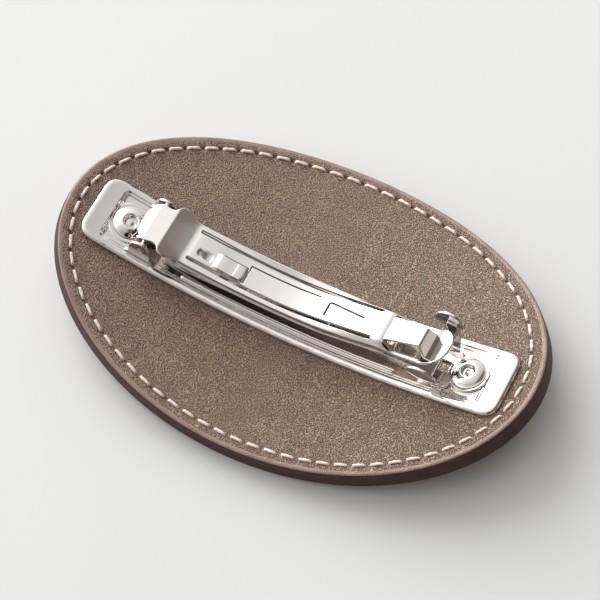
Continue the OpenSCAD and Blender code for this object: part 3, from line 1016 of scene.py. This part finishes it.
# Rows [distance, value] of the channel: half its width, height of its edges and of its middle
# over ARM_H, and how far the flanges reach down
CHANNEL_HALF = [
    (-22, 4.05), (5, 4.05), (10, 3.91), (15.8, 3.69), (18.2, 3.64), (19.2, 3.58), (20.3, 3.5)]
CHANNEL_EDGE = [(-4, 0), (5, 0.05), (10, 0.22), (15.8, 0.5), (18.2, 0.55), (19.4, 0.3), (20.6, 0)]
CHANNEL_MIDDLE = [
    (-22.2, 0), (-21.2, 0.05), (-20, 0.25), (-16.5, 0.15), (-13, -0.2), (-9, -0.47), (-4, -0.57),
    (0, -0.45), (5, 0.05), (10, 0.75), (15.8, 1.45), (18.2, 1.7), (19.4, 1.0), (20.6, 0.0)]
FLANGE_DEPTH = [(-22.1, 0.7), (-21.3, 1.8), (16, 1.8), (18.2, 1.6), (19.2, 0.8), (20.2, 0.64)]


def unbend(s0, x, z):
    """Distance and height on the bend of a point drawn on a flat board that touches it at s0."""
    return s0 + BEND_R * atan2(x, BEND_R - z), BEND_R - hypot(x, BEND_R - z)


def mirrored(side, step):
    """Outline from the rows [u, v, radius] of one side and their mirror image."""
    return finely(rounded([(u, -v, r) for u, v, r in side] + side[::-1]), step)


def arm_side():
    """Side view [distance, height, radius of the bend] from the knuckle's lip to the tip."""
    drawn = pin_arc(KNUCKLE_R, [radians(LIP_ANGLE - 6.6 * k) for k in range(13)])
    drawn += [(-0.55, 6.15, 1.5), (2.45, 6.9, 0.9), (7.2, 6.15, 7)]
    corners = [(*unbend(HINGE_S, x, z), radius) for x, z, radius in drawn]
    corners += [(TIP_BEND - 0.4, ARM_H, 3), (TIP_BEND + 1.3, ARM_H + 0.95, 4)]
    corners.append((TIP_BEND + TIP_L * cos(FLARE), ARM_H + TIP_L * sin(FLARE), 0))
    return corners


arm_at, arm_lengths, _ = follow(arm_side(), 0.0)


def arm_outline():
    """Hood, channel and round tip."""
    side = [(u, soft_value(HOOD_EDGE, arm_at(u)[0].x - HINGE_S), 0)
            for u in even(arm_lengths[0] + HAIR, HOOD_END, 0.22)]
    side[0] = (side[0][0], side[0][1] - 0.02, 0.7)
    side += [(u, soft_value(CHANNEL_HALF, u), 0) for u in even(-20, 20.3, 1.0)]
    tip_u = arm_lengths[-1] - TIP_R
    side += [(tip_u + TIP_R * sin(t), TIP_R * cos(t), 0) for t in even(0, pi / 2 - 0.12, 0.1)]
    return mirrored(side, 0.45)


print("arm from", round(arm_lengths[0], 2), "to", round(arm_lengths[-1], 2), "mm along its side view")

# %% Pressed forms of the arm
FLAT_HALF = 2.9
FLANGE_T = 0.32
PAD = [(-15.9, 0), (-14.7, 0.42), (-12.05, 0.4), (-11.75, 0.48), (-10.15, 0.36), (-9.85, 0)]
PAD_V = -0.75
PAD_HALF = 1.5
PAD_BOW, PAD_BOW_SPAN = 0.25, 2.1
DENT_U = (-18.6, -17.0)
DENT_V = -0.85
DENT_R = 0.85
DENT_DEPTH = 0.5


def channel_relief(u, v):
    """Height of the arm's top face over its side view."""
    if not CHANNEL_MIDDLE[0][0] <= u <= CHANNEL_MIDDLE[-1][0]:
        return 0.0
    middle = soft_value(CHANNEL_MIDDLE, u)
    edge = soft_value(CHANNEL_EDGE, u)
    half = soft_value(CHANNEL_HALF, u)
    outward = max(0.0, min(1.0, (abs(v) - FLAT_HALF) / (half - FLAT_HALF)))
    height = middle + (edge - middle) * outward
    bow = PAD_BOW * (1 - min(1.0, (v - PAD_V) ** 2 / PAD_BOW_SPAN))
    if PAD[0][0] < u < PAD[-1][0]:
        bowed = min(u, max(u - bow, PAD[1][0]))
        height += soft_value(PAD, bowed) * ease(PAD_HALF - abs(v - PAD_V), 0.0, 0.2)
    reach = hypot(max(0.0, DENT_U[0] - u, u - DENT_U[1]), v - DENT_V)
    dent = ease(DENT_R - reach, 0.0, 0.35) * (0.35 + 0.65 * ease(u, -19.2, -16.9))
    return height - DENT_DEPTH * dent


def arm_flange(mesh, side):
    """Strip turned down along one edge of the channel, drawn along it and downwards."""
    places = even(-22.0, 20.2, 0.8)
    corners = [(u, 0.17, 0) for u in places[::-1]]
    corners += [(u, soft_value(FLANGE_DEPTH, u), 0) for u in places]

    def surface(u, down, k):
        half = soft_value(CHANNEL_HALF, u) + 0.01
        return on_clip(u, side * (half + k), ARM_H + soft_value(CHANNEL_EDGE, u) - down)

    sheet_metal(mesh, finely(rounded(corners), 0.45), surface, FLANGE_T, (), (), places,
                even(0.5, 1.5, 0.25), 0.1)


print("the channel sags by", -channel_relief(-4, 0), "mm at its lowest")

# %% [markdown]
# ### Cheeks, bridge and cuts
# Two cheeks hang from the hood and turn on the pin. The bridge is the raised roof over the catch
# window. On the real arm all this is one sheet. Here the parts overlap a little and move as one.
# The narrow cuts free a tongue and the pad, and they are slots with round ends.

# %% Cheeks and bridge of the arm
CHEEK_Y = 3.1
CHEEK_T = 0.5
CHEEK_R = 1.75
BRIDGE_S = 22
BRIDGE_T = 0.55
BRIDGE_SIDE = [(-4.6, 7.0, 0), (-3.2, 7.72, 1.6), (-1.9, 8.15, 1.6), (3.3, 8.78, 0.6), (4.7, 5.6, 0)]


def arm_cheek(mesh, side):
    """Cheek that hangs from the hood on one side and turns on the pin."""
    corners = pin_arc(CHEEK_R, even(pi, tau, 0.2))
    corners += [(3.6, 5.3, 0.3), (3.6, 5.95, 0), (2.4, 6.2, 0), (-0.4, 5.85, 0), (-1.6, 4.95, 0)]
    pin_plate(mesh, corners, CHEEK_Y, CHEEK_T, side, 0.66, even(-1.6, 3.4, 0.6), even(2.2, 5.8, 0.6), 0.1)


def build_bridge(mesh):
    """Bridge over the catch window: it goes on from the arm's middle and has a steep front."""
    at, lengths, path = follow([(*unbend(BRIDGE_S, x, z), r) for x, z, r in BRIDGE_SIDE], BRIDGE_S)

    def length_at(x):
        return lengths[next(k for k, point in enumerate(path) if point.x >= x + BRIDGE_S)]

    widths = [(lengths[0], 2.3), (length_at(-1.9), 2.2), (length_at(3.3), 1.8), (lengths[-1], 2.7)]
    low, high = lengths[0] + HAIR, lengths[-1] - HAIR
    outline = mirrored([(u, half, 0.6) for u, half in widths], 0.4)
    outline = [Vector((min(max(point.x, low), high), point.y)) for point in outline]
    columns = sorted(set(lengths[1:-1] + even(lengths[0], lengths[-1], 0.5)[1:-1]))
    sheet_metal(mesh, outline, laid_on(at), BRIDGE_T, (), (), columns, even(-2.6, 2.6, 0.4), 0.14)


# %% The whole arm
PANEL_HALF = 2.45
RAIL_INNER = 3.1
SLOT_0 = -20.6
SLOT_1 = 16.2
WINDOW = (20.6, 24.9, -2.75, 2.75, 0.5)
# Narrow cuts: the line, its width, the step between its points and the rounding of its edge
CUTS = [([(-9.6, -2.0), (-9.6, 1.47), (4.2, 1.47)], 0.25, 0.3, 0.04),
        ([(6.25, -1.45), (6.25, 0.7), (6.38, 0.96), (6.7, 1.03), (13.3, 0.27)], 0.45, 0.3, 0.04),
        ([(7.5, 1.42), (13.2, 1.12)], 0.15, 0.25, 0.03)]
CUTS += [([(PAD[1][0], v), (-9.95, v)], 0.12, 0.25, 0.03) for v in (PAD_V - 1.58, PAD_V + 1.58)]


def build_arm():
    mesh = bmesh.new()
    holes = []
    for side in (-1, 1):
        v0, v1 = sorted((side * PANEL_HALF, side * RAIL_INNER))
        holes.append((box_line(SLOT_0, SLOT_1, v0, v1, 0.3), 0.1))
    holes.append((box_line(*WINDOW), 0.1))
    holes += [(slot_line(line, width, step), rounding) for line, width, step, rounding in CUTS]
    lines = []
    for off in (-PAD_HALF, -1.4, -1.3, 1.3, 1.4, PAD_HALF):
        lines.append(([Vector((u, PAD_V + off)) for u in even(-16.2, -9.95, 0.4)], False))
    columns = arm_lengths[1:-1] + even(-20.8, 26.0, 0.6)
    columns += even(-19.6, -12.4, 0.2) + even(-12.2, -9.8, 0.1)
    sheet_metal(mesh, arm_outline(), laid_on(arm_at), ARM_T, holes, lines, sorted(set(columns)),
                even(-4.8, 4.8, 0.35), 0.16, channel_relief)
    for side in (-1, 1):
        arm_cheek(mesh, side)
        arm_flange(mesh, side)
    build_bridge(mesh)
    metal_piece("arm_pressed", mesh, "arm", body="arm")


build_arm()

# %% [markdown]
# ## Catch
# The catch is a sprung stamping under the right-hand rivet: a plate with a small square hole,
# two stems that lean out, and an oval press plate on top of each. Pressing the two plates
# together frees the arm.

# %% Stems and press plates of the catch
STEM_SIDE = [(3.3, 4.42, 0), (4.02, 4.5, 0.5), (5.1, 7.1, 1.0), (5.45, 9.3, 0)]
PRESS_X, PRESS_Y, PRESS_Z = 25.65, 5.25, 8.95
PRESS_LEAN = radians(5)
PRESS_HALF = 2.89
PRESS_TOP_R = 2.95
PRESS_LOW_R = 3.9
DISH = 0.22


def catch_stem(mesh, side):
    """Stem that leans out from the catch plate, drawn along its lean and along the clip."""
    at, lengths, _ = follow(STEM_SIDE, 4.5)
    low, high = lengths[0] + HAIR, lengths[-1] - HAIR
    mid = (low + high) / 2
    corners = [(low, 26.5, 0), (low, 28.7, 0), (low + 1.2, 28.6, 0.5), (mid, 28.3, 1), (high, 27.3, 0.3),
               (high, 25.2, 0.3), (mid, 26.2, 1), (low + 1.2, 26.35, 0.5)]

    def surface(u, x, k):
        point, away = at(u)
        spot = point - away * k
        return Vector((x, side * spot.x + CLIP_Y, LEATHER_T + spot.y)) * MM

    columns = sorted(set(lengths[1:-1] + even(low, high, 0.5)[1:-1]))
    sheet_metal(mesh, finely(rounded(corners), 0.35), surface, CATCH_T - 0.02, (), (), columns,
                even(25.4, 28.6, 0.5))


def press_plate(mesh, side):
    """Dished oval plate on top of a stem: a wide arc above and a flatter one below."""
    def wide_arc(radius, middle, up):
        half = asin(PRESS_HALF / radius)
        return [(radius * sin(t), middle + up * radius * cos(t), 0) for t in even(-half, half, 0.18)]

    upper, lower = wide_arc(PRESS_TOP_R, -0.6, 1), wide_arc(PRESS_LOW_R, 2.6, -1)
    for end in (0, -1):
        upper[end] = (*upper[end][:2], 0.3)
    outline = finely(rounded(lower[1:-1] + upper[::-1]), 0.3)

    def dish(x, z):
        return -DISH * max(0.0, 1 - (x / 2.6) ** 2 - ((z - 0.5) / 1.7) ** 2)

    def surface(x, z, k):
        across = PRESS_Y - k + z * sin(PRESS_LEAN)
        spot = Vector((PRESS_X + x, across, PRESS_Z + z * cos(PRESS_LEAN)))
        return Vector((spot.x, side * spot.y + CLIP_Y, LEATHER_T + spot.z)) * MM

    sheet_metal(mesh, outline, surface, CATCH_T, (), (), even(-2.6, 2.6, 0.4),
                even(-1.2, 2.2, 0.35), 0.16, dish)


# %% The whole catch
DISC_R = 3.4
NECK_HALF = 2.6


def build_catch():
    mesh = bmesh.new()
    neck_start = RIVET_S - sqrt(DISC_R ** 2 - NECK_HALF ** 2)
    disc = [(RIVET_S - DISC_R * cos(t), DISC_R * sin(t), 0) for t in even(-pi, pi, 0.15)]
    disc = [row for row in disc if row[0] > neck_start]
    disc.sort(key=lambda row: atan2(row[1], row[0] - RIVET_S))
    corners = [(26.9, 3.7, 0.4), (26.9, -3.7, 0.4), (30.1, -3.7, 0.4), (30.3, -NECK_HALF, 0.3)]
    corners += disc + [(30.3, NECK_HALF, 0.3), (30.1, 3.7, 0.4)]
    holes = [(circle_line(RIVET_S, 0, RIVET_HOLE), 0.05), (box_line(27.25, 29.15, -1, 1, 0.12), 0.06)]
    sheet_metal(mesh, finely(rounded(corners), 0.35), lambda x, y, k: on_clip(x, y, CATCH_H + CATCH_T + k),
                CATCH_T, holes, (), even(27, 36, 0.6), even(-3.6, 3.6, 0.6))
    for side in (-1, 1):
        catch_stem(mesh, side)
        press_plate(mesh, side)
    metal_piece("catch_sprung", mesh, "catch")


build_catch()

# %% [markdown]
# ## Studio
# The barrette lies on a pale table under one big soft light from the upper left, and a pale
# room fills the shadows.

# %% Table and light
FLOOR_TONE = 0.65
LAMP_SPOT = Vector((-0.95, 0.55, 0.62))

top_mesh = bmesh.new()
bmesh.ops.create_grid(top_mesh, x_segments=2, y_segments=2, size=1.5)
top_data = bpy.data.meshes.new("table")
top_mesh.to_mesh(top_data)
top_mesh.free()
table = bpy.data.objects.new("table", top_data)
bpy.context.scene.collection.objects.link(table)
table_top, _ = new_finish("table_top", (FLOOR_TONE, FLOOR_TONE, FLOOR_TONE * 0.995), 0.65, shine=0.2)
top_data.materials.append(table_top)

lamp = bpy.data.lights.new("window_light", "AREA")
lamp.shape = "RECTANGLE"
lamp.size = 1.0
lamp.size_y = 1.0
lamp.energy = 15.2
window = bpy.data.objects.new("window_light", lamp)
window.location = LAMP_SPOT
window.rotation_euler = (-LAMP_SPOT).to_track_quat("-Z", "Y").to_euler()
bpy.context.scene.collection.objects.link(window)
print("table of tone", FLOOR_TONE, "under a lamp of", round(lamp.energy, 1), "W")

# %% [markdown]
# ### Room
# Polished metal shows the room itself, so the room isn't one flat grey: it is bright on the
# light's side and falls off to a brownish dark on the other. A soft dark shape, like a person
# beside the camera, gives the metal its dark stripes.

# %% Room
ROOM_LIGHT = 2.0
BROWN_BELOW = 0.4
BROWN_G, BROWN_B = 0.12, 0.24
# Rows [direction, brightness] of the room, along the barrette and across it
ROOM_X = [
    (-1, 1.0), (-0.58, 1.0), (-0.46, 0.76), (-0.34, 0.66), (-0.18, 0.57), (-0.07, 0.53), (0.04, 0.49),
    (0.15, 0.45), (0.27, 0.33), (0.31, 0.27), (0.36, 0.15), (0.45, 0.10), (1, 0.10)]
ROOM_Y = [(-1, 0.45), (-0.6, 0.6), (-0.12, 1.0), (1, 1.0)]
PERSON = (0.36, -0.72, 0.58)
PERSON_STRETCH = (1.0, 0.8, 0.55)
PERSON_IN, PERSON_OUT, PERSON_TONE = 0.12, 0.26, 0.03


def room_tone(room, source, rows):
    """Tone of the room along one direction. Its dark parts are a little brown."""
    stops = []
    for at, grey in rows:
        brown = max(0.0, 1 - grey / BROWN_BELOW)
        tone = (grey, grey * (1 - BROWN_G * brown), grey * (1 - BROWN_B * brown))
        stops.append(((at + 1) / 2, tone))
    share = node(room, "ShaderNodeMapRange", Value=source, From_Min=-1, From_Max=1)
    return colour_ramp(room, share.outputs["Result"], stops)


def vector_step(room, operation, source, other=None):
    """One sum with vectors. other is a fixed vector or the output of a node."""
    made = node(room, "ShaderNodeVectorMath", operation=operation)
    join(room, source, made.inputs[0])
    if isinstance(other, tuple):
        made.inputs[1].default_value = other
    elif other:
        join(room, other, made.inputs["Scale" if operation == "SCALE" else 1])
    return made.outputs["Value" if operation == "LENGTH" else "Vector"]


room = bpy.data.worlds.new("room")
bpy.context.scene.world = room
room.use_nodes = True
ways = node(room, "ShaderNodeTexCoord").outputs["Generated"]
split = node(room, "ShaderNodeSeparateXYZ", Vector=ways)
tones = vector_step(room, "MULTIPLY", room_tone(room, split.outputs["X"], ROOM_X),
                    room_tone(room, split.outputs["Y"], ROOM_Y))
off_person = vector_step(room, "MULTIPLY", vector_step(room, "SUBTRACT", ways, PERSON), PERSON_STRETCH)
person = node(room, "ShaderNodeMapRange", Value=vector_step(room, "LENGTH", off_person),
              From_Min=PERSON_IN, From_Max=PERSON_OUT, To_Min=PERSON_TONE, To_Max=1.0,
              interpolation_type="SMOOTHSTEP")
shade = room.node_tree.nodes["Background"]
join(room, vector_step(room, "SCALE", tones, person.outputs["Result"]), shade.inputs["Color"])
shade.inputs["Strength"].default_value = ROOM_LIGHT
bpy.context.scene.view_settings.view_transform = "Standard"
print("room with", len(room.node_tree.nodes), "nodes")
